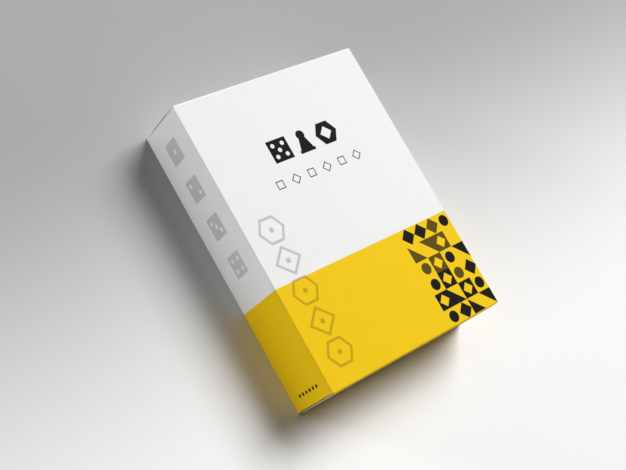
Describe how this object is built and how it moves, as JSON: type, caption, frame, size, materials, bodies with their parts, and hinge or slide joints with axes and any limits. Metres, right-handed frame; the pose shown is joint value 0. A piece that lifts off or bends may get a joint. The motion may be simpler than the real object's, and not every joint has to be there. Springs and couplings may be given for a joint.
{
  "type": "board game box",
  "caption": "Tuck-end paperboard game box lying on its back, with hinged end panels, tuck and dust flaps, and a divided insert that holds a folded board, rules, cards, dice and pawns.",
  "frame": {"origin": "under the middle of the box, on the surface that it lies on", "axes": "+X to the right of the cover, +Y to its top edge, +Z the way the cover faces"},
  "size_m": [0.19, 0.2558, 0.057],
  "materials": {
    "carton_board": "satin coated board",
    "insert_board": "uncoated kraft",
    "game_board": "linen-embossed print",
    "hinge_cloth": "book cloth",
    "booklet_paper": "silk coated",
    "card_stock": "linen cards",
    "pawn_wood": "lacquered",
    "die_plastic": "polished"
  },
  "bodies": {
    "sleeve": {"front_panel": "carton_board", "back_panel": "carton_board", "left_panel": "carton_board", "right_panel": "carton_board", "glue_flap": "carton_board", "insert_floor": "insert_board", "insert_left_wall": "insert_board", "insert_right_wall": "insert_board", "insert_top_wall": "insert_board", "insert_bottom_wall": "insert_board", "insert_long_divider": "insert_board", "insert_cross_divider": "insert_board", "game_board_lower_leaf": "game_board", "game_board_upper_leaf": "game_board", "game_board_hinge_tape": "hinge_cloth", "rule_booklet": "booklet_paper", "card_deck_left": "card_stock", "card_deck_right": "card_stock", "pawns": "pawn_wood", "dice": "die_plastic"},
    "top_lid": {"top_lid": "carton_board"},
    "top_tuck_flap": {"top_tuck_flap": "carton_board"},
    "top_left_dust_flap": {"top_left_dust_flap": "carton_board"},
    "top_right_dust_flap": {"top_right_dust_flap": "carton_board"},
    "bottom_lid": {"bottom_lid": "carton_board"},
    "bottom_tuck_flap": {"bottom_tuck_flap": "carton_board"},
    "bottom_left_dust_flap": {"bottom_left_dust_flap": "carton_board"},
    "bottom_right_dust_flap": {"bottom_right_dust_flap": "carton_board"}
  },
  "joints": [
    {"name": "top_lid_hinge", "type": "hinge", "parent": "sleeve", "child": "top_lid", "pos_m": [0, 0.127, 0.056], "axis": [1, 0, 0], "range_deg": [0, 165]},
    {"name": "top_tuck_crease", "type": "hinge", "parent": "top_lid", "child": "top_tuck_flap", "pos_m": [0, 0.12574, 0.00133], "axis": [1, 0, 0], "range_deg": [0, 49.5]},
    {"name": "top_left_dust_crease", "type": "hinge", "parent": "sleeve", "child": "top_left_dust_flap", "pos_m": [-0.094, 0.12595, 0.0285], "axis": [0, 0, 1], "range_deg": [0, 90.75]},
    {"name": "top_right_dust_crease", "type": "hinge", "parent": "sleeve", "child": "top_right_dust_flap", "pos_m": [0.094, 0.12595, 0.0285], "axis": [0, 0, -1], "range_deg": [0, 90.75]},
    {"name": "bottom_lid_hinge", "type": "hinge", "parent": "sleeve", "child": "bottom_lid", "pos_m": [0, -0.127, 0.056], "axis": [-1, 0, 0], "range_deg": [0, 165]},
    {"name": "bottom_tuck_crease", "type": "hinge", "parent": "bottom_lid", "child": "bottom_tuck_flap", "pos_m": [0, -0.12574, 0.00133], "axis": [-1, 0, 0], "range_deg": [0, 49.5]},
    {"name": "bottom_left_dust_crease", "type": "hinge", "parent": "sleeve", "child": "bottom_left_dust_flap", "pos_m": [-0.094, -0.12595, 0.0285], "axis": [0, 0, -1], "range_deg": [0, 90.75]},
    {"name": "bottom_right_dust_crease", "type": "hinge", "parent": "sleeve", "child": "bottom_right_dust_flap", "pos_m": [0.094, -0.12595, 0.0285], "axis": [0, 0, 1], "range_deg": [0, 90.75]}
  ],
  "couplings": [
    {"joint": "top_tuck_crease", "follows": "top_lid_hinge", "ratio": 0.3},
    {"joint": "top_left_dust_crease", "follows": "top_lid_hinge", "ratio": 0.55},
    {"joint": "top_right_dust_crease", "follows": "top_lid_hinge", "ratio": 0.55},
    {"joint": "bottom_tuck_crease", "follows": "bottom_lid_hinge", "ratio": 0.3},
    {"joint": "bottom_left_dust_crease", "follows": "bottom_lid_hinge", "ratio": 0.55},
    {"joint": "bottom_right_dust_crease", "follows": "bottom_lid_hinge", "ratio": 0.55}
  ]
}
